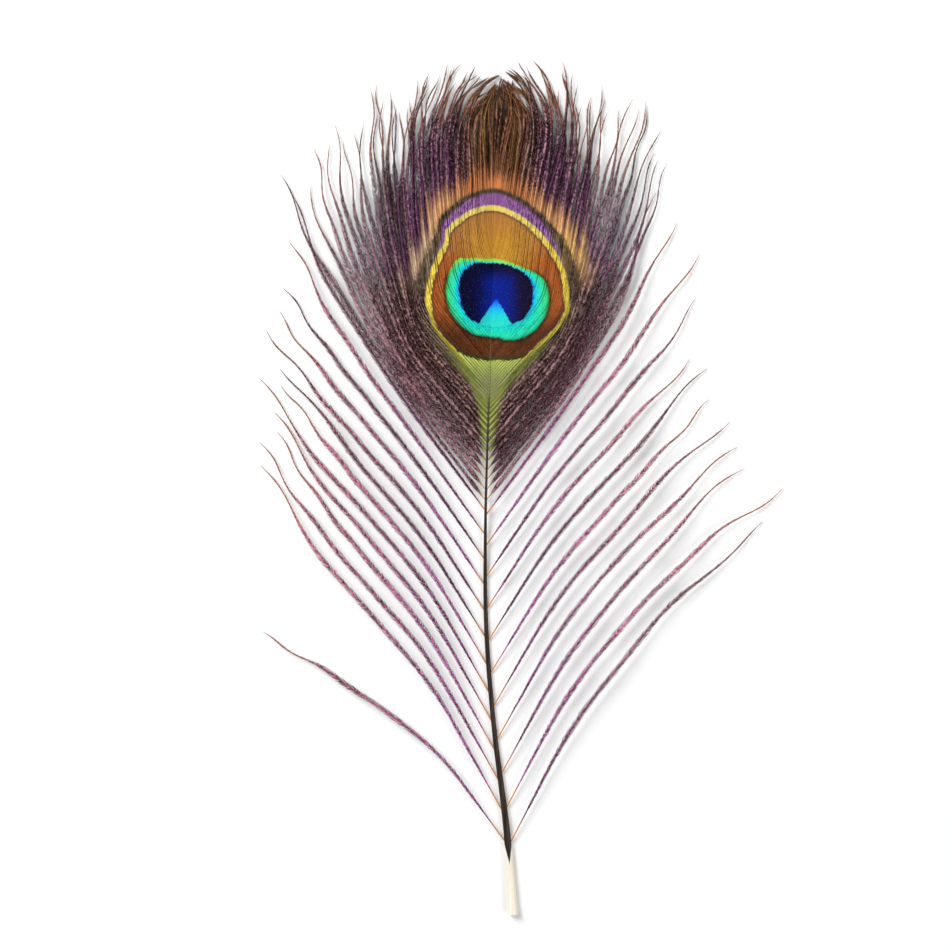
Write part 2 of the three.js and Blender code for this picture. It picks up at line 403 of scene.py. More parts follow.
# Barbules: where they end as a share of a barb's length; their angles in degrees, first where they hook
# together and then how loose ones differ; and their widths as shares of their pitch.
BARBULES_END = 0.985
BARBULE_ANGLE = 42.0  # off the spine
LOOSE_CLOSER = 6.0
ANGLE_STRAY = 5.0
TIP_BEND = 20.0  # forwards, from the bend to the tip
BEND_AT = 0.55
SLOPE = {1: 3.0, -1: -6.0}  # up or down from the spine on its right and left, so that rows overlap
LOOSE_SLOPE = -14.0
ROLL_DRIFT = 16.0  # by stretches
ROLL_STRAY = 8.0  # by single barbules
REACH_BY_TUFT = 0.4
REACH_STRAY = 0.18
BARBULE_WIDTH = 1.04
LOOSE_TIP_WIDTH = 0.7
SHINGLE = np.array([0, 0, 0.016])  # mm that each one's far edge lies above its near edge
TUFT_LENGTH = 0.75  # mm between one lively tuft of barbules and the next
# A barb's sheen is painted: its brighter stretches carry more painted glint, its duller ones less.
SHEEN_LENGTH = 9.0  # mm between a brighter and a duller stretch of a barb
SHEEN_RANGE = (-0.55, 0.25)
BARBULE_FLUFF = np.array([0.12, 0.12, 0.55, 0.55, 1.0, 1.0])  # at its root, bend and tip
BARBULE_ROWS = {1: (0.60, 0.79, 0.98), -1: (0.40, 0.21, 0.02)}  # the same places' heights in a map row
BARBULE_FILL = 0.94


def patches(length, patch):
    """How many values a drift along a barb takes."""
    return int(length / patch) + 3


def drift(stations, patch, values):
    """Values at stations along a barb, changing evenly from one given value to the next each patch."""
    return np.interp(stations / patch, np.arange(len(values)), values)


def barbule_points(root, way, side, angle, reach, loose, pitch):
    """Barbules as strips of two facets: pairs of points at the root, the bend and the tip."""
    loose = loose[:, None]
    angle = angle[:, None]
    blade = reach[:, None] / np.sin(angle)
    straight = way * np.cos(angle) + side * np.sin(angle)
    bent_angle = angle - np.radians(TIP_BEND) * loose
    bent = way * np.cos(bent_angle) + side * np.sin(bent_angle)
    middle = root + straight * blade * BEND_AT
    tip = middle + bent * blade * (1 - BEND_AT)
    half = way * pitch * 0.5
    tip_width = blend(BARBULE_WIDTH, LOOSE_TIP_WIDTH, loose)
    points = []
    for spot, width in ((root, BARBULE_WIDTH), (middle, BARBULE_WIDTH), (tip, tip_width)):
        points += [spot - half * width, spot + half * width + SHINGLE]
    return np.stack(points, axis=1)


def barbule_faces(fibres, row, hand, count):
    """The point numbers and the map places of a row of barbules' facets."""
    order = np.array([[0, 1, 3, 2], [2, 3, 5, 4]])
    if hand > 0:
        order = order[:, ::-1]
    share = np.arange(count) / count
    left, _ = fibres.cell(row, share, 0.0)
    right = np.minimum(left + BARBULE_FILL * fibres.folds / count, 1.0)
    heights = [fibres.cell(row, share, height)[1] for height in BARBULE_ROWS[hand]]
    spots = np.stack([np.stack([u, v], -1) for v in heights for u in (left, right)], axis=1)
    corners = np.arange(count)[None, :, None] * len(BARBULE_FLUFF) + order[:, None]
    return corners, np.stack([spots[:, facet] for facet in order])


def add_barbules(fibres, row, barb, hand, rng):
    """One row of barbules beside a barb. hand is -1 for its left and 1 for its right."""
    along, length, line, pitch = barb.along, barb.length, barb.line, barb.pitch
    count = int((BARBULES_END * length - barb.herl_from) / pitch)
    stations = barb.herl_from + (np.arange(count) + 0.5 + rng.uniform(-0.2, 0.2, count)) * pitch
    at = np.interp(stations, along, np.arange(len(along)))
    low = np.minimum(at.astype(int), len(along) - 2)
    part = (at - low)[:, None]
    root = line[low] * (1 - part) + line[low + 1] * part
    heading = np.interp(stations, along, barb.ways)
    rise = np.interp(stations, along, np.gradient(line[:, 2], along))
    loose = np.interp(stations, along, barb.free)
    tuft = drift(stations, TUFT_LENGTH, rng.uniform(0, 1, patches(length, TUFT_LENGTH)))
    grain = 0.8 * smoothstep(0.25, 0.75, tuft) + 0.2 * rng.uniform(0, 1, count)
    # the barb's painted sheen adds to the grain, and so to its painted glints
    grain = np.clip(grain + loose * drift(stations, SHEEN_LENGTH, barb.sheen), 0, 1)
    reach = np.interp(stations, along, barb.reaches[hand])
    stray = rng.uniform(-REACH_STRAY, REACH_STRAY, count)
    reach = reach * (1 + loose * (REACH_BY_TUFT * (tuft - 0.5) + stray))
    roll = ROLL_DRIFT * drift(stations, SHEEN_LENGTH, rng.normal(0, 1, patches(length, SHEEN_LENGTH)))
    roll = loose * (roll + ROLL_STRAY * rng.normal(size=count))
    tilt = np.radians(blend(SLOPE[hand], LOOSE_SLOPE, loose) + roll)[:, None]
    way = np.stack([np.sin(heading), np.cos(heading), rise], axis=1)
    side = np.stack([np.cos(heading), -np.sin(heading), 0 * heading], axis=1) * hand
    side = side * np.cos(tilt) + np.array([0, 0, 1.0]) * np.sin(tilt)
    angle = np.radians(BARBULE_ANGLE - LOOSE_CLOSER * loose + loose * rng.normal(0, ANGLE_STRAY, count))
    fibres.add(
        barbule_points(root, way, side, angle, reach, loose, pitch),
        *barbule_faces(fibres, row, hand, count),
        share=(stations / length)[:, None],
        fluff=BARBULE_FLUFF,
        tint=barb.tint,
        grain=grain[:, None],
        green=np.interp(stations, along, barb.green)[:, None],
        bare=np.interp(stations, along, barb.bare)[:, None],
        rose=barb.rose,
    )


# ---------------------------------------------------------------- shader helpers


def node(tree, kind, **settings):
    made = tree.nodes.new(kind)
    for name, value in settings.items():
        setattr(made, name, value)
    return made


def feed(tree, socket, value):
    if isinstance(value, bpy.types.NodeSocket):
        tree.links.new(value, socket)
    else:
        socket.default_value = value


def calc(tree, operation, *values, clamp=False):
    made = node(tree, "ShaderNodeMath", operation=operation, use_clamp=clamp)
    for socket, value in zip(made.inputs, values):
        feed(tree, socket, value)
    return made.outputs[0]


def plus(tree, value, *others):
    for other in others:
        value = calc(tree, "ADD", value, other)
    return value


def minus(tree, value, other):
    return calc(tree, "SUBTRACT", value, other)


def times(tree, value, *others):
    for other in others:
        value = calc(tree, "MULTIPLY", value, other)
    return value


def ratio(tree, value, other):
    return calc(tree, "DIVIDE", value, other)


def size_of(tree, value):
    return calc(tree, "ABSOLUTE", value)


def step(tree, value, low, high, start=0.0, end=1.0):
    """Eases from start to end while a value goes from low to high."""
    made = node(tree, "ShaderNodeMapRange", interpolation_type="SMOOTHSTEP")
    titles = ("Value", "From Min", "From Max", "To Min", "To Max")
    for title, given in zip(titles, (value, low, high, start, end)):
        feed(tree, made.inputs[title], given)
    return made.outputs[0]


def colour(code):
    """A colour from its usual six-figure screen code, as linear light."""
    screen = [int(code[i : i + 2], 16) / 255 for i in (0, 2, 4)]
    return (*[c / 12.92 if c <= 0.04045 else ((c + 0.055) / 1.055) ** 2.4 for c in screen], 1.0)


def paint(tree, share, under, over):
    """Lays one colour over another by a share."""
    made = node(tree, "ShaderNodeMix", data_type="RGBA")
    feed(tree, made.inputs["Factor"], share)
    feed(tree, made.inputs[6], colour(under) if isinstance(under, str) else under)
    feed(tree, made.inputs[7], colour(over) if isinstance(over, str) else over)
    return made.outputs[2]


def ladder(tree, value, stops):
    """A colour that changes with a value from 0 to 1."""
    made = node(tree, "ShaderNodeValToRGB")
    ramp = made.color_ramp
    while len(ramp.elements) < len(stops):
        ramp.elements.new(0.5)
    for element, (place, code) in zip(ramp.elements, stops):
        element.position = place
        element.color = colour(code)
    feed(tree, made.inputs[0], value)
    return made.outputs[0]


def outline(tree, turn, points):
    """An outline's distance from the eye's centre in mm, by its turn from 0 to 1."""
    made = node(tree, "ShaderNodeFloatCurve")
    curve = made.mapping.curves[0]
    places = [((angle + 180) / 360, radius / OUTLINE_SCALE) for angle, radius in points]
    while len(curve.points) < len(places):
        curve.points.new(0.5, 0.5)
    for point, place in zip(curve.points, places):
        point.location = place
    made.mapping.update()
    feed(tree, made.inputs["Value"], turn)
    return times(tree, made.outputs[0], OUTLINE_SCALE)


def noise(tree, place, scale, detail=2.0):
    made = node(tree, "ShaderNodeTexNoise")
    feed(tree, made.inputs["Vector"], place)
    made.inputs["Scale"].default_value = scale
    made.inputs["Detail"].default_value = detail
    return made.outputs["Fac"]


def object_place(tree):
    return node(tree, "ShaderNodeTexCoord").outputs["Object"]


def new_group(name, inputs, outputs):
    tree = bpy.data.node_groups.new(name, "ShaderNodeTree")
    for title, kind, usual in inputs:
        socket = tree.interface.new_socket(name=title, in_out="INPUT", socket_type="NodeSocket" + kind)
        if usual is not None:
            socket.default_value = usual
    for title, kind in outputs:
        tree.interface.new_socket(name=title, in_out="OUTPUT", socket_type="NodeSocket" + kind)
    source = tree.nodes.new("NodeGroupInput")
    sink = tree.nodes.new("NodeGroupOutput")
    return tree, source.outputs, sink.inputs


def place_group(tree, group, **values):
    made = node(tree, "ShaderNodeGroup", node_tree=group)
    for title, value in values.items():
        feed(tree, made.inputs[title.replace("_", " ")], value)
    return made.outputs


def stored(tree, name):
    """A number stored with the points of a mesh."""
    return node(tree, "ShaderNodeAttribute", attribute_name=name).outputs["Fac"]


# ---------------------------------------------------------------- the herl's colours

# The beads are painted light: glinting beads are painted highlights, the dark ones between them painted
# shade.
BEADS_PER_MM = 1.3  # how closely glinting and dark beads follow each other along a barb


def herl_group():
    """The colours of a barb and its barbules: a bare root, a core with painted glints (painted highlights)
    in beads and painted shade between them, dark edges and a copper tip."""
    tree, give, take = new_group(
        "Herl colours",
        [
            ("Place", "Vector", None),
            ("Share", "Float", 0.5),
            ("Fluff", "Float", 0.0),
            ("Tint", "Float", 0.5),
            ("Grain", "Float", 0.5),
            ("Bare", "Float", 0.0),
            ("Root", "Color", colour("c89050")),
            ("Core", "Color", colour("a0608c")),
            # Glint: the colour of the painted highlights.
            ("Glint", "Color", colour("d884c8")),
            ("Edge", "Color", colour("3a2028")),
            ("Tip", "Color", colour("a0522d")),
            ("Tip Start", "Float", 0.86),
            ("Dull", "Float", 0.5),
            ("Edge Full", "Float", 0.5),
            ("Beading", "Float", 0.8),
        ],
        [("Color", "Color"), ("Glint", "Float")],
    )
    beads = noise(tree, give["Place"], BEADS_PER_MM, detail=1.0)
    bead = times(tree, step(tree, beads, 0.36, 0.64, -0.3, 0.3), give["Beading"])
    # gap lays the edge colour between the beads: painted shade.
    gap = times(tree, step(tree, beads, 0.55, 0.4), give["Beading"])
    glint_level = plus(tree, times(tree, give["Grain"], 0.75), times(tree, give["Tint"], 0.4), bead)
    # glint: how much of the painted highlight colour the core takes.
    glint = step(tree, glint_level, 0.4, 0.95)
    core = paint(tree, glint, give["Core"], give["Glint"])
    core = paint(tree, step(tree, give["Tint"], 0.45, 0.0, 0.0, give["Dull"]), core, give["Edge"])
    edge = step(tree, give["Fluff"], 0.1, give["Edge Full"])
    edge_on = times(tree, edge, step(tree, glint_level, 1.0, 0.4, 0.85, 1.0))
    herl = paint(tree, edge_on, core, give["Edge"])
    herl = paint(tree, gap, herl, give["Edge"])
    rooted = paint(tree, give["Bare"], herl, give["Root"])
    tipped = plus(tree, give["Share"], times(tree, give["Tint"], 0.08))
    tip_on = step(tree, tipped, give["Tip Start"], plus(tree, give["Tip Start"], 0.12))
    tip = paint(tree, step(tree, give["Tint"], 0.55, 0.2, 0.0, 0.75), give["Tip"], "38282a")
    tip = paint(tree, times(tree, edge, 0.7), tip, give["Edge"])
    feed(tree, take["Color"], paint(tree, times(tree, tip_on, 0.85), rooted, tip))
    feed(tree, take["Glint"], glint)
    return tree


# ---------------------------------------------------------------- the eye's markings


def eye_places(tree, give):
    """Where a place lies among the markings: x, y, radius and gaps in mm, its turn from the top in
    degrees, and how far it is inside one marking or another as shares."""
    spot = node(tree, "ShaderNodeSeparateXYZ")
    feed(tree, spot.inputs[0], give["Place"])
    at = SimpleNamespace(x=spot.outputs["X"], y=spot.outputs["Y"])
    at.wide = size_of(tree, at.x)
    shift = plus(tree, times(tree, give["Tint"], UNEVEN_TINT), times(tree, give["Grain"], UNEVEN_GRAIN))
    at.shift = minus(tree, shift, UNEVEN_MEAN)
    squares = plus(tree, times(tree, at.x, at.x), times(tree, at.y, at.y))
    at.radius = plus(tree, calc(tree, "SQRT", squares), at.shift)
    angle = calc(tree, "ARCTAN2", at.x, at.y)
    turn = plus(tree, ratio(tree, angle, 2 * math.pi), 0.5)
    at.from_top = times(tree, size_of(tree, angle), 180 / math.pi)
    at.disc = outline(tree, turn, DISC)
    at.navy = outline(tree, turn, NAVY)
    at.edge = step(tree, give["Fluff"], 0.15, 0.6)
    at.upper = step(tree, at.from_top, 106, 84)
    at.low = step(tree, at.y, -3, -12)

    ring = outline(tree, turn, RING)
    at.past = minus(tree, at.radius, ring)
    violet_ends = step(tree, at.x, -5, 0, VIOLET_ENDS_LEFT, VIOLET_ENDS)
    violet_left = calc(tree, "SUBTRACT", 1.0, ratio(tree, at.from_top, violet_ends), clamp=True)
    violet_wide = times(tree, calc(tree, "POWER", violet_left, VIOLET_TAPER), VIOLET_WIDTH)
    at.past_violet = minus(tree, at.past, violet_wide)
    line_wide = step(tree, at.from_top, 15, 80, LINE_WIDTH_TOP, LINE_WIDTH_SIDE)
    at.past_line = minus(tree, at.past_violet, line_wide)

    ring_wide = step(tree, at.low, 0, 1, RING_WIDTH_TOP, RING_WIDTH_FOOT)
    at.inside = minus(tree, minus(tree, ring, ring_wide), at.radius)
    at.inner = step(tree, at.inside, -0.25, 0.25)
    foot_reach = plus(tree, times(tree, at.wide, FOOT_SPREAD), BRONZE_FOOT)
    at.past_bronze = minus(tree, at.radius, foot_reach)
    at.foot = times(tree, step(tree, at.past_bronze, -0.2, 0.4), step(tree, at.y, -10, -14))
    return at


def paint_flank_and_crown(tree, give, at):
    """The loose barbs around the eye: a violet cast beside it, copper and olive above it."""
    flank = times(
        tree, step(tree, at.wide, 10, 20), step(tree, at.y, -2, 12),
        step(tree, at.past, 42, 12), step(tree, at.edge, 0.8, 0.0, 0.0, 0.4),
    )
    shown = paint(tree, flank, give["Outside"], "7c4282")
    stops = [(0.0, "24120a"), (0.3, "643818"), (0.7, "8c4e2a"), (1.0, "6c5e20")]
    copper = ladder(tree, give["Tint"], stops)
    copper = paint(tree, step(tree, give["Grain"], 0.3, 1.0, 0.0, 0.7), copper, "b08460")
    copper = paint(tree, times(tree, at.edge, 0.92), copper, "180a04")
    crown = times(tree, step(tree, at.wide, 15, 5), step(tree, at.y, 30, 42), 0.85)
    return paint(tree, crown, shown, copper)


def paint_halo(tree, give, at, shown):
    """The orange halo above the eye, paler towards its ends and uneven from barb to barb."""
    ends = paint(tree, step(tree, at.x, -4, 4), "eccca4", "f8c878")
    orange = paint(tree, step(tree, at.from_top, 12, 32), "d88a50", "f0b47c")
    orange = paint(tree, step(tree, at.from_top, 35, 60), orange, ends)
    orange = paint(tree, step(tree, give["Grain"], 0.55, 0.15, 0.0, 0.35), orange, "8a5434")
    orange = paint(tree, step(tree, give["Tint"], 0.35, 0.05, 0.0, 0.55), orange, "4a2818")
    edge = times(tree, at.edge, step(tree, at.from_top, 12, 50, 0.85, 0.4))
    orange = paint(tree, edge, orange, "5c3620")
    width = plus(tree, times(tree, give["Tint"], HALO_STRAY), HALO_WIDTH)
    width = times(tree, width, step(tree, at.from_top, 20, 90, 1.0, 0.75))
    reach = step(tree, ratio(tree, at.past_line, width), 1.0, 0.15)
    halo = times(tree, reach, step(tree, at.from_top, 94, 62), 0.95)
    return paint(tree, halo, shown, orange)


def paint_straw(tree, give, at, shown):
    """Straw-coloured spines beside the lower half of the ring, and the olive fade at its foot."""
    straw = times(
        tree, step(tree, at.past, 4.0, 0.0), step(tree, give["Fluff"], 0.4, 0.1),
        step(tree, at.from_top, 85, 105), 0.6,
    )
    shown = paint(tree, straw, shown, "c4b484")
    fading = times(
        tree, step(tree, at.past, 3.8, 0.2), step(tree, at.from_top, 132, 150),
        step(tree, give["Fluff"], 0.75, 0.3, 0.3, 0.85),
    )
    return paint(tree, fading, shown, "848c44")


def paint_violet(tree, give, at, shown):
    """The violet band above the ring, and the charcoal line that runs around it."""
    streaky = step(tree, give["Tint"], 0.25, 0.85, 1.0, step(tree, at.from_top, 30, 90, 1.0, 0.3))
    line = times(tree, step(tree, at.past_line, 0.9, -0.4), at.upper, streaky)
    shown = paint(tree, line, shown, paint(tree, give["Grain"], "2e241a", "625440"))
    violet = paint(tree, give["Grain"], "6c3c76", "ac78b0")
    violet = paint(tree, step(tree, at.from_top, 40, 66), violet, "8c7488")
    band = times(tree, step(tree, at.past_violet, 0.5, -0.6), at.upper)
    return paint(tree, band, shown, violet)


def paint_ring(tree, give, at, shown):
    """The yellow ring, paler at the top and greener below."""
    yellow = paint(tree, give["Grain"], "d8bc38", "f4de5c")
    yellow = paint(tree, step(tree, at.y, 12, 24, 0.0, 0.6), yellow, "ecdc80")
    yellow = paint(tree, times(tree, at.low, 0.4), yellow, "b8c040")
    yellow = paint(tree, times(tree, at.low, at.edge, 0.7), yellow, "4c4418")
    ring = times(tree, step(tree, at.past, 0.25, -0.25), step(tree, at.y, -27, -21))
    return paint(tree, ring, shown, yellow)


def paint_foot(tree, give, at, shown):
    """The green foot of the eye, below the bronze, darker along the spines, with dark chevrons of painted
    shade where the barbs part.
    """
    green = paint(tree, step(tree, at.y, -21, -32), "c4d468", "9c9c68")
    green = paint(tree, step(tree, give["Fluff"], 0.4, 0.05, 0.0, 0.85), green, "3c4418")
    # dark chevrons at the barbules' outer ends: painted shade where neighbouring barbs part
    chevrons = times(tree, step(tree, give["Fluff"], 0.5, 0.9), step(tree, at.y, -21, -27, 0.15, 0.75))
    green = paint(tree, chevrons, green, "3c4218")
    return paint(tree, times(tree, at.inner, at.foot), shown, green)


def paint_bronze(tree, give, at, shown):
    """The bronze field: rusty at the sides, golden above the disc and brown below it."""
    streak = plus(tree, times(tree, give["Tint"], 0.7), times(tree, give["Grain"], 0.3))
    rust_low = paint(tree, streak, "94481a", "bc6a30")
    rust_high = paint(tree, streak, "a0683a", "cc8c4c")
    bronze = paint(tree, step(tree, at.y, 8, 20), rust_low, rust_high)
    golden = times(
        tree, step(tree, at.wide, 17, 4), step(tree, at.y, 4, 11), step(tree, at.y, 27, 15, 0.15, 1.0)
    )
    bronze = paint(tree, golden, bronze, paint(tree, streak, "b07c22", "d49c3c"))
    bronze = paint(tree, step(tree, at.y, -2, -15), bronze, paint(tree, streak, "40220e", "6c3a1c"))
    bronze = paint(tree, step(tree, at.inside, 1.3, 0.1, 0.0, 0.7), bronze, "5a2c3c")
    foot_edge = times(tree, step(tree, at.past_bronze, -2.2, 0.0), step(tree, at.y, -12, -16))
    bronze = paint(tree, foot_edge, bronze, "3c3a1c")
    return paint(tree, times(tree, at.inner, minus(tree, 1.0, at.foot)), shown, bronze)


def paint_disc(tree, give, at, shown):
    """The blue-green disc, with a lime rim above and a dark line around the rest of it."""
    to_rim = minus(tree, at.disc, at.radius)
    band = ratio(tree, minus(tree, at.radius, at.navy), minus(tree, at.disc, at.navy))
    stops = [(0.0, "1484ec"), (0.1, "1cc4ec"), (0.3, "24e4cc"), (0.65, "38e4a0"), (1.0, "40c858")]
    disc = ladder(tree, band, stops)
    lower = paint(tree, give["Grain"], "08c0b0", "1ce0bc")
    disc = paint(tree, step(tree, at.y, -2, -12, 0.0, 0.65), disc, lower)
    lime = times(tree, step(tree, at.y, 6, 10), step(tree, to_rim, 1.8, 0.4))
    disc = paint(tree, lime, disc, "8ce458")
    not_above = step(tree, at.y, 9, 5)
    shade = times(tree, step(tree, to_rim, 1.0, -0.1), not_above, 0.7)
    disc = paint(tree, shade, disc, "0c5a34")
    around = times(tree, step(tree, to_rim, -1.4, -0.2), not_above, 0.75)
    shown = paint(tree, around, shown, "24160c")
    return paint(tree, step(tree, to_rim, -0.2, 0.25), shown, disc)


def paint_heart(tree, give, at, shown):
    """The navy heart, bluest in its middle, with the blue-green notch that points up into it."""
    dark = paint(tree, step(tree, at.x, -6, 8), "040834", "100a30")
    bright = times(tree, step(tree, at.wide, 9.0, 1.0), step(tree, at.y, 8.5, 2.5))
    heart = paint(tree, bright, dark, paint(tree, give["Grain"], "041a7c", "06249a"))
    to_rim = minus(tree, at.navy, at.radius)
    heart = paint(tree, step(tree, to_rim, 1.6, 0.0, 0.0, 0.7), heart, "080420")
    heart_on = step(tree, to_rim, -0.25, 0.25)
    shown = paint(tree, heart_on, shown, heart)
    below = minus(tree, NOTCH_APEX[1], at.y)
    aside = minus(tree, at.x, NOTCH_APEX[0])
    skew = times(tree, aside, NOTCH_SKEW)
    flare = plus(tree, times(tree, size_of(tree, aside), NOTCH_SLOPE), skew)
    depth = minus(tree, plus(tree, below, at.shift), flare)
    stops = [(0.0, "0a30c8"), (0.16, "1468f0"), (0.36, "1cb4ec"), (0.6, "24d2d8"), (1.0, "28dcc0")]
    notch = ladder(tree, ratio(tree, below, NOTCH_DEPTH), stops)
    return paint(tree, times(tree, step(tree, depth, -0.3, 0.5), heart_on), shown, notch)


def paint_split_and_spine_shade(tree, give, at, shown):
    """Fine dark lines inside the ring: painted shade in a few splits between barbs and along the spines,
    and darker tufts by their grain.
    """
    within = step(tree, at.past, 6.0, 3.0)
    # painted shade in the splits where a few barbs part
    split_shade = times(
        tree, step(tree, give["Tint"], 0.7, 0.8), step(tree, give["Fluff"], 0.7, 0.2), within,
        step(tree, at.y, -12, 10, 0.25, 0.75), step(tree, at.wide, 2.5, 7.5, 0.1, 1.0),
    )
    shown = paint(tree, split_shade, shown, "1c1014")
    # painted shade along the spines; the tufts are darker by their grain
    spines = times(tree, step(tree, give["Fluff"], 0.4, 0.0), 0.3)
    tufts = times(tree, step(tree, give["Grain"], 0.6, 0.0), 0.2)
    spine_shade_and_tuft_tone = times(tree, plus(tree, spines, tufts), within, step(tree, at.wide, 1.0, 6.0, 0.45, 1.0))
    return paint(tree, spine_shade_and_tuft_tone, shown, "0c0808")


def eye_group():
    """The eye's markings by their place from its centre in millimetres, laid over one another, and last
    the painted shade in its splits and along its spines.
    """
    tree, give, take = new_group(
        "Eye markings",
        [
            ("Place", "Vector", None),
            ("Tint", "Float", 0.5),
            ("Grain", "Float", 0.5),
            ("Fluff", "Float", 0.0),
            ("Outside", "Color", colour("7a5a78")),
        ],
        [("Color", "Color"), ("Vane", "Float")],
    )
    at = eye_places(tree, give)
    shown = paint_flank_and_crown(tree, give, at)
    markings = (
        paint_halo, paint_straw, paint_violet, paint_ring, paint_foot, paint_bronze, paint_disc,
        paint_heart, paint_split_and_spine_shade,
    )
    for paint_marking in markings:
        shown = paint_marking(tree, give, at, shown)
    feed(tree, take["Color"], shown)
    feed(tree, take["Vane"], step(tree, at.past, 0.5, -0.5))
    return tree


# ---------------------------------------------------------------- finishes


def new_material(name, **values):
    made = bpy.data.materials.new(name)
    made.use_nodes = True
    tree = made.node_tree
    shader = tree.nodes["Principled BSDF"]
    for title, value in values.items():
        shader.inputs[title.replace("_", " ")].default_value = value
    return made, tree, shader.inputs


def eye_place(tree):
    """Places in millimetres from the eye's centre."""
    centre = np.append(EYE_CENTRE, 0) + LAYOUT_ZERO
    mapping = node(tree, "ShaderNodeMapping", vector_type="POINT")
    feed(tree, mapping.inputs["Vector"], object_place(tree))
    mapping.inputs["Location"].default_value = tuple(-centre)
    mapping.inputs["Scale"].default_value = (1 / MM, 1 / MM, 1 / MM)
    return mapping.outputs[0]


def barb_numbers(tree):
    return {title: stored(tree, title.lower()) for title in ("Share", "Fluff", "Tint", "Grain", "Bare")}


def loose_barb_material(herl):
    """Plum herl, rosier towards the tips, on straw-coloured roots."""
    made, tree, shader = new_material("Loose barb", Specular_IOR_Level=0.12)
    numbers = barb_numbers(tree)
    outer = step(tree, numbers["Share"], 0.2, 0.75)
    look = place_group(
        tree,
        herl,
        **numbers,
        Place=eye_place(tree),
        Root=colour("c08444"),
        Core=paint(tree, outer, "5e2448", "6c2e40"),
        Glint=paint(tree, outer, "b85ca4", "d47894"),
        Edge=colour("2a0a14"),
        Tip=colour("9c5830"),
        Tip_Start=0.84,
        Dull=0.3,
        Edge_Full=1.1,
        Beading=0.55,
    )
    feed(tree, shader["Base Color"], look["Color"])
    feed(tree, shader["Roughness"], step(tree, look["Glint"], 0, 1, 0.55, 0.38))
    return made


def dense_barb_material(name, herl, eye, metallic, core, glint, beading):
    """Herl that turns rosier towards the lowest barbs, green beside the shaft and marked in the eye."""
    made, tree, shader = new_material(name, Metallic=metallic, Specular_IOR_Level=0.06)
    numbers = barb_numbers(tree)
    rose = stored(tree, "rose")
    lowest = step(tree, rose, 0.6, 1.0)
    place = eye_place(tree)
    look = place_group(
        tree,
        herl,
        **numbers,
        Place=place,
        Root=colour("b0904c"),
        Core=paint(tree, rose, core, "582c36"),
        Glint=paint(tree, rose, glint, "b4808c"),
        Edge=paint(tree, lowest, "180706", "2c0c18"),
        Tip=colour("985630"),
        Tip_Start=0.82,
        Dull=0.45,
        Edge_Full=step(tree, lowest, 0, 1, 0.5, 0.85),
        Beading=beading,
    )
    green = paint(tree, step(tree, numbers["Fluff"], 0.1, 0.5), "b4b868", "5c6828")
    marked = place_group(
        tree,
        eye,
        Place=place,
        Tint=numbers["Tint"],
        Grain=numbers["Grain"],
        Fluff=numbers["Fluff"],
        Outside=paint(tree, stored(tree, "green"), look["Color"], green),
    )
    feed(tree, shader["Base Color"], marked["Color"])
    feed(tree, shader["Roughness"], step(tree, marked["Vane"], 0, 1, 0.52, 0.42))
    return made


RIDGES_PER_METRE = 2000.0
RIDGE_STRETCH = 0.03  # how much less closely they follow each other along the shaft
RIDGE_DEPTH = 0.15 * MM
CLOUDS_PER_METRE = 260.0
CHARCOAL_FROM = 16.5  # mm from the cut end, where the ivory quill turns dark in a tongue this long
CHARCOAL_EASE = 7.0


def horn_material(eye):
    """Ridged horn: ivory at the quill, charcoal above, pale pith below, green towards the eye and marked
    like the barbs inside it."""
    made, tree, shader = new_material("Horn", Roughness=0.42, Specular_IOR_Level=0.3)
    along = stored(tree, "along")
    across = size_of(tree, stored(tree, "across"))
    above = stored(tree, "above")
    spot = object_place(tree)
    mapping = node(tree, "ShaderNodeMapping")
    feed(tree, mapping.inputs["Vector"], spot)
    mapping.inputs["Scale"].default_value = (1.0, RIDGE_STRETCH, 1.0)
    ridge = noise(tree, mapping.outputs[0], RIDGES_PER_METRE, detail=4.0)
    clouds = noise(tree, spot, CLOUDS_PER_METRE)

    charcoal = paint(tree, step(tree, ridge, 0.35, 0.65), "080402", "36241a")
    charcoal = paint(tree, step(tree, along, 150, 176, 0.0, 0.65), charcoal, "4c5220")
    ivory = paint(tree, clouds, "e6dfcc", "f6f2e6")
    ivory = paint(tree, step(tree, ridge, 0.62, 0.4, 0.0, 0.35), ivory, "cdbf9e")
    tongue = ratio(tree, minus(tree, along, CHARCOAL_FROM), CHARCOAL_EASE)
    tongue = plus(tree, minus(tree, tongue, times(tree, across, 0.9)), times(tree, ridge, 0.2))
    dark = times(tree, step(tree, tongue, 0.0, 0.3), step(tree, above, -0.35, 0.15))
    shown = paint(tree, dark, ivory, charcoal)
    pith = times(tree, step(tree, above, -0.2, -0.8), step(tree, along, 24, 60, 0.0, 0.8))
    shown = paint(tree, pith, shown, paint(tree, ridge, "8c7c64", "d0c4a8"))

    marked = place_group(tree, eye, Place=eye_place(tree), Grain=ridge, Fluff=0.6, Outside=shown)
    olive = paint(tree, 0.6, marked["Color"], "4a5428")
    marked_colour = paint(tree, step(tree, along, 182, 196), olive, marked["Color"])
    shown = paint(tree, step(tree, along, 169, 175), shown, marked_colour)
    feed(tree, shader["Base Color"], shown)
    bump = node(tree, "ShaderNodeBump")
    bump.inputs["Strength"].default_value = 0.35
    bump.inputs["Distance"].default_value = RIDGE_DEPTH
    feed(tree, bump.inputs["Height"], ridge)
    feed(tree, shader["Normal"], bump.outputs[0])
    feed(tree, shader["Roughness"], step(tree, ridge, 0.3, 0.7, 0.5, 0.36))
    return made


# ---------------------------------------------------------------- the shaft

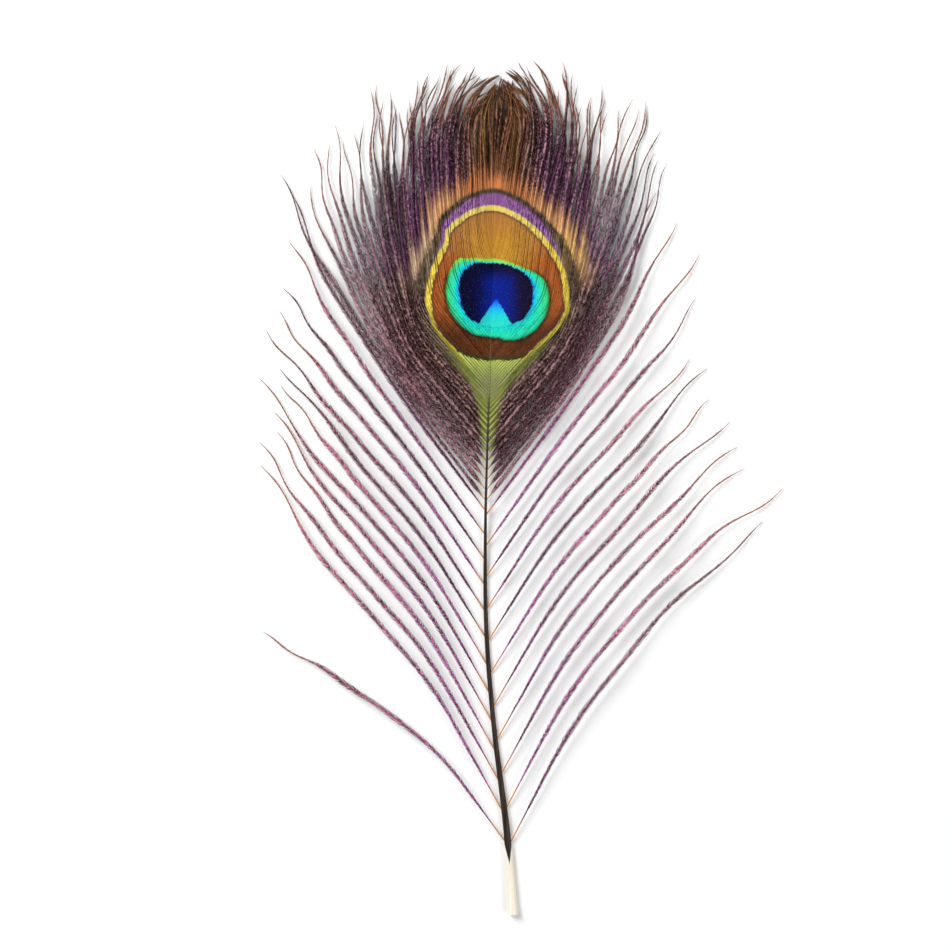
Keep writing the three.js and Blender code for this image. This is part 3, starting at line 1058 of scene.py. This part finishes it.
SHAFT_FACETS = 20
SHAFT_RINGS = 60
SHAFT_SINK = 0.2  # inside the eye the barbs close over the shaft
SINK_BETWEEN = (186.0, 194.0)
BORE_WIDTH = 1.7
BORE_DEPTH = 9.0
BORE_LEAN = -0.6  # to the side at its end, with the swing of the shaft
GROOVE_BETWEEN = (22.0, 42.0)  # where it sets in
GROOVE_DEPTH = 0.28  # of the shaft's height
SMOOTH_ANGLE = 40.0


def extrude(shift):
    bpy.ops.mesh.extrude_region_move(TRANSFORM_OT_translate={"value": tuple(shift)})


def resize(share, centre):
    bpy.ops.transform.resize(value=share, center_override=tuple(centre))


def select_at(mesh, test):
    """Selects the points whose places pass a test, in edit mode."""
    bpy.ops.mesh.select_all(action="DESELECT")
    bpy.ops.object.mode_set(mode="OBJECT")
    for vertex in mesh.vertices:
        vertex.select = bool(test(vertex.co))
    bpy.ops.object.mode_set(mode="EDIT")


def draw_out_bar(middles, halves):
    """A bar drawn out ring by ring from the cut quill to a hair, still in edit mode."""
    bpy.ops.object.select_all(action="DESELECT")
    bpy.ops.mesh.primitive_circle_add(
        vertices=SHAFT_FACETS, radius=halves[0], fill_type="NOTHING",
        location=tuple(middles[0]), rotation=(math.pi / 2, 0, 0),
    )
    piece = bpy.context.object
    piece.name = "shaft_horn"
    bpy.ops.object.transform_apply(location=True, rotation=True, scale=True)
    bpy.ops.object.mode_set(mode="EDIT")
    bpy.ops.mesh.select_all(action="SELECT")
    resize((1, 1, SHAFT_HEIGHT_RATIO), middles[0])
    for i in range(1, SHAFT_RINGS + 1):
        extrude(middles[i] - middles[i - 1])
        share = halves[i] / halves[i - 1]
        resize((share, 1, share), middles[i])
    bpy.ops.mesh.edge_face_add()
    return piece


def hollow_quill(mesh, centre, half):
    """Closes the cut end to a rim and sinks the bore into it."""
    nearby = 0.01 * MM
    select_at(mesh, lambda place: place.y < centre[1] + nearby)
    bore_share = BORE_WIDTH / 2 * MM / half
    extrude((0, 0, 0))
    resize((bore_share, 1, bore_share / SHAFT_HEIGHT_RATIO), centre)
    extrude((BORE_LEAN * MM, BORE_DEPTH * MM, 0))
    bpy.ops.mesh.edge_face_add()
    bpy.ops.mesh.select_all(action="SELECT")
    bpy.ops.mesh.normals_make_consistent(inside=False)


def groove_underside(mesh):
    """Presses the groove in, and stores each point's distance from the cut end and its place across and
    above the shaft's middle as shares of its half width and height."""
    points = np.array([vertex.co for vertex in mesh.vertices])
    layout = points / MM - LAYOUT_ZERO
    along = layout[:, 1]
    middle = shaft_middle(along)
    half = shaft_width(along) / 2
    across = (layout[:, 0] - middle[:, 0]) / half
    above = (layout[:, 2] - middle[:, 2]) / (half * SHAFT_HEIGHT_RATIO)
    outer = across**2 + above**2 > 0.8  # leaves the bore alone
    groove = outer * smoothstep(-0.75, -1.0, above) * smoothstep(*GROOVE_BETWEEN, along)
    points[:, 2] += groove * GROOVE_DEPTH * half * 2 * SHAFT_HEIGHT_RATIO * MM
    points[:, 2] = np.maximum(points[:, 2], FLOOR_CLEARANCE * MM)
    mesh.vertices.foreach_set("co", points.reshape(-1))
    for title, values in (("along", along), ("across", across), ("above", above)):
        layer = mesh.attributes.new(title, "FLOAT", "POINT")
        layer.data.foreach_set("value", values.astype(np.float32))


def build_shaft(material):
    """The horn shaft, hollow at the quill, with a groove along its underside."""
    ends = SHAFT_LENGTH * (np.arange(SHAFT_RINGS + 1) / SHAFT_RINGS)
    middles = shaft_middle(ends)
    middles[:, 2] -= SHAFT_SINK * smoothstep(*SINK_BETWEEN, ends)
    middles = (middles + LAYOUT_ZERO) * MM
    halves = shaft_width(ends) / 2 * MM
    piece = draw_out_bar(middles, halves)
    hollow_quill(piece.data, middles[0], halves[0])
    bpy.ops.object.mode_set(mode="OBJECT")
    groove_underside(piece.data)
    piece.data.materials.append(material)
    bpy.ops.object.shade_smooth_by_angle(angle=math.radians(SMOOTH_ANGLE))
    return piece


# ---------------------------------------------------------------- the barbs

# How far from the shaft barbs are green: their roots, and how far along them.
GREEN_REACH = ([150, 157, 163, 168, 171, 173, 176], [0.3, 1.8, 3, 5, 8, 14, 24])
LOOSE_PITCH = 0.21
SIDE_PITCH = 0.21
EYE_PITCH = 0.2

# How far barbules reach from their spine, in mm or as shares of the gap to the next barb.
LOOSE_REACH = (0.14, 0.64, 1.19)  # on the bare root, past it, and in full
FULL_FROM = 45.0  # mm along a barb
WOVEN_SHARE = 0.6
WOVEN_REACH = (0.1, 0.95)
FLUFFY_SHARE = 1.5
FLUFFY_REACH = (0.6, 1.8)
SLIM_REACH = (0.75, 1.3)  # on the lowest dense barbs, at their roots and further out
FRINGE_SLIMMER = 0.7  # mm less towards the tips of the outermost eye barbs
INNERMOST_GAP = 0.9  # taken for a barb that has no neighbour
OUTERMOST_GAP = 1.4
TIP_TAPER = (1 - 0.7 * smoothstep(0.7, 0.9, SHARE)) * (1 - 0.9 * smoothstep(0.94, 1.0, SHARE))


def spine_radii(root, power, end, tip=0.09):
    """A spine's radius along a barb in mm, closed down to its end at the last step."""
    radii = blend(tip, root, (1 - SHARE) ** power)
    radii[-1] = end
    return radii


class Barb:
    """One barb, with what grows along it given at its steps: ways in plan, the spine's radii, how free
    its barbules are from their neighbours, and how far they reach on its left (-1) and right (1)."""

    def __init__(self, root, line, ways, length):
        self.root = root
        self.line = line
        self.ways = ways
        self.length = length
        self.along = SHARE * length

    def colour_in(self, rng, bare_length):
        """Draws the barb's own tint and sheen, and works out where it is bare, green or rosy."""
        self.tint = rng.uniform(0, 1)
        self.sheen = rng.uniform(*SHEEN_RANGE, patches(self.length, SHEEN_LENGTH))
        self.rose = smoothstep(176, 140, self.root)
        self.bare = smoothstep(bare_length, 0.4 * bare_length, self.along)
        near_shaft = smoothstep(2.5, -2.0, self.along - np.interp(self.root, *GREEN_REACH))
        self.green = near_shaft * smoothstep(150, 156, self.root) * smoothstep(186, 178, self.root)


def add_barb(fibres, row, barb, rng, sides, every):
    add_spine(fibres, row, barb, sides, every)
    for hand in (-1, 1):
        add_barbules(fibres, row, barb, hand, rng)


def build_loose_barbs(side, material, rng):
    """The barbs below the eye, each one a piece of its own."""
    count, first, gap, shrink = LOOSE_ROOTS[side]
    n = np.arange(count)
    roots = first + n * gap - shrink * n * (n - 1) / 2
    lines, ways, lengths = barb_lines(side, roots, rng, **LOOSE_HABIT)
    on_root, past_root, in_full = LOOSE_REACH
    for i in range(count):
        barb = Barb(roots[i], lines[i], ways[i], lengths[i])
        bare_length = 11 - 6 * smoothstep(60, 130, roots[i])
        reach = blend(on_root, past_root, smoothstep(0.5 * bare_length, 1.6 * bare_length, barb.along))
        reach += (in_full - past_root) * smoothstep(1.2 * bare_length, FULL_FROM, barb.along)
        reach *= TIP_TAPER
        barb.reaches = {-1: reach, 1: reach}
        barb.radii = spine_radii(0.23, 0.8, 0.02)
        barb.free = np.ones_like(SHARE)
        barb.herl_from = 0.4 * bare_length
        barb.pitch = LOOSE_PITCH
        barb.colour_in(rng, bare_length)
        fibres = Fibres(1, 8)
        add_barb(fibres, 0, barb, rng, sides=6, every=1)
        title = f"{side}_{i + 1:02d}"
        piece = fibres.build(f"barb_{title}", material)
        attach(piece, "root")
        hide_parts(f"loose_barb_{title}")


def dense_reach(barb, gap, freed_from):
    """How far a dense barb's barbules reach towards a neighbour, woven together and then fluffy."""
    woven = np.clip(WOVEN_SHARE * gap, *WOVEN_REACH)
    slim = blend(*SLIM_REACH, smoothstep(6.0, FULL_FROM, barb.along))
    fullest = FLUFFY_REACH[1]
    limit = blend(slim, fullest, smoothstep(138, 151, barb.root))
    slimmer = FRINGE_SLIMMER * smoothstep(205, 180, barb.root) * smoothstep(0.5, 0.8, SHARE)
    limit = np.minimum(limit, fullest - slimmer)
    fluffy = np.minimum(np.clip(FLUFFY_SHARE * gap, *FLUFFY_REACH), limit) * TIP_TAPER
    return blend(woven, fluffy, barb.free) * freed_from


def dense_barb(side, roots, lines, ways, lengths, i):
    """One of a side's dense barbs: woven into the vane in the eye, or free beside it."""
    barb = Barb(roots[i], lines[i], ways[i], lengths[i])
    start_taper = np.ones_like(SHARE)
    if barb.root < EYE_FROM:
        barb.pitch = SIDE_PITCH
        barb.free = smoothstep(1.0, 14.0, barb.along)
        closed = smoothstep(146, 162, barb.root)
        start_taper = closed + (1 - closed) * blend(0.15, 1.0, smoothstep(0.5, 6.0, barb.along))
    else:
        barb.pitch = EYE_PITCH
        past, turn = ring_gap(barb.line[:, 0], barb.line[:, 1])
        hooked = VIOLET_WIDTH * np.clip(1 - np.abs(turn) / VIOLET_ENDS, 0, 1) ** VIOLET_TAPER
        barb.free = smoothstep(hooked + 1.0, hooked + 8.0, past)
    inner = np.full_like(SHARE, INNERMOST_GAP)
    if i + 1 < len(roots):
        inner = gap_to(barb.line, lines[i + 1])
    outer = np.full_like(SHARE, OUTERMOST_GAP)
    if i > 0:
        outer = gap_to(barb.line, lines[i - 1])
    outwards = SIDE_SIGN[side]
    barb.reaches = {
        -outwards: dense_reach(barb, inner, start_taper),
        outwards: dense_reach(barb, outer, start_taper),
    }
    barb.radii = spine_radii(0.14, 1.0, 0.015)
    barb.herl_from = 0.0
    return barb


def build_dense_barbs(side, side_material, eye_material, rng):
    """The barbs beside the eye as one piece, and those of the eye and its fringe as two."""
    roots = np.concatenate([roots_between(*SIDE_ROOTS), roots_between(*EYE_ROOTS)])
    lines, ways, lengths = barb_lines(side, roots, rng, **DENSE_HABIT)
    blocks = [
        ("side_barbs_" + side, "side_plume_" + side, "side_barbs", side_material, 0.0, EYE_FROM),
        ("eye_barbs_" + side, "eye_vane_outer_" + side, "eye_barbs", eye_material, EYE_FROM, EYE_SPLIT),
        ("eye_barbs_" + side, "eye_vane_inner_" + side, "eye_barbs", eye_material, EYE_SPLIT, SHAFT_LENGTH),
    ]
    for replaced, title, slot, material, first, last in blocks:
        chosen = np.flatnonzero((roots >= first) & (roots < last))
        fibres = Fibres(len(chosen), 2)
        for row, i in enumerate(chosen):
            barb = dense_barb(side, roots, lines, ways, lengths, i)
            barb.colour_in(rng, 3.5 - 2.5 * smoothstep(140, 160, roots[i]))
            add_barb(fibres, row, barb, rng, sides=3, every=2)
        piece = fibres.build(title, material)
        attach(piece, "root")
        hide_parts(replaced)


# ---------------------------------------------------------------- stage, light and camera

TABLE_SIZE = 6.0  # metres
TABLE_GREY = (0.84, 0.84, 0.84, 1)
SKY_STRENGTH = 0.35
LAMPS = {"Key": ((-0.8, 0.7, 0.9), 0.7, 22.0), "Fill": ((1.0, -0.5, 0.9), 0.9, 10.0)}  # place, size, power
VIEW_CENTRE = (-13.1, 5.6)  # mm in the frame
VIEW_WIDTH = 316.7
VIEW_LEVEL = 3.0  # mm above the table, where the view is that wide
LENS = 85.0
SENSOR = 36.0


def build_stage():
    bpy.ops.object.select_all(action="DESELECT")
    bpy.ops.mesh.primitive_plane_add(size=TABLE_SIZE, location=(0, 0, 0))
    floor = bpy.context.object
    floor.name = "table"
    made, _, _ = new_material("Pale table", Base_Color=TABLE_GREY, Roughness=0.9)
    floor.data.materials.append(made)


def add_lamp(name, place, size, power):
    lamp = bpy.data.lights.new(name, "AREA")
    lamp.size = size
    lamp.energy = power
    holder = bpy.data.objects.new(name, lamp)
    holder.location = place
    holder.rotation_euler = (Vector((0, 0, 0)) - Vector(place)).to_track_quat("-Z", "Y").to_euler()
    bpy.context.collection.objects.link(holder)


def build_light_and_camera():
    world = bpy.data.worlds.new("Studio")
    world.use_nodes = True
    sky = world.node_tree.nodes["Background"].inputs
    sky["Color"].default_value = (1, 1, 1, 1)
    sky["Strength"].default_value = SKY_STRENGTH
    bpy.context.scene.world = world
    for name, (place, size, power) in LAMPS.items():
        add_lamp(name, place, size, power)
    bpy.context.scene.view_settings.view_transform = "Standard"
    camera = bpy.data.cameras.new("Camera")
    camera.lens = LENS
    camera.sensor_width = SENSOR
    holder = bpy.data.objects.new("Camera", camera)
    height = VIEW_WIDTH * LENS / SENSOR + VIEW_LEVEL
    holder.location = (VIEW_CENTRE[0] * MM, VIEW_CENTRE[1] * MM, height * MM)
    bpy.context.collection.objects.link(holder)
    bpy.context.scene.camera = holder


LOOSE_SEED = 11
DENSE_SEED = 31

build_light_and_camera()
build_stage()
herl = herl_group()
eye = eye_group()
shaft = build_shaft(horn_material(eye))
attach(shaft, "root")
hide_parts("shaft")
loose = loose_barb_material(herl)
side_look = dense_barb_material("Side barb", herl, eye, 0.0, "5c3a36", "bc9890", 0.4)
eye_look = dense_barb_material("Eye barb", herl, eye, 0.08, "643a42", "c4909c", 0.85)
for order, side in enumerate(("left", "right")):
    build_loose_barbs(side, loose, np.random.default_rng(LOOSE_SEED + order))
    build_dense_barbs(side, side_look, eye_look, np.random.default_rng(DENSE_SEED + order))
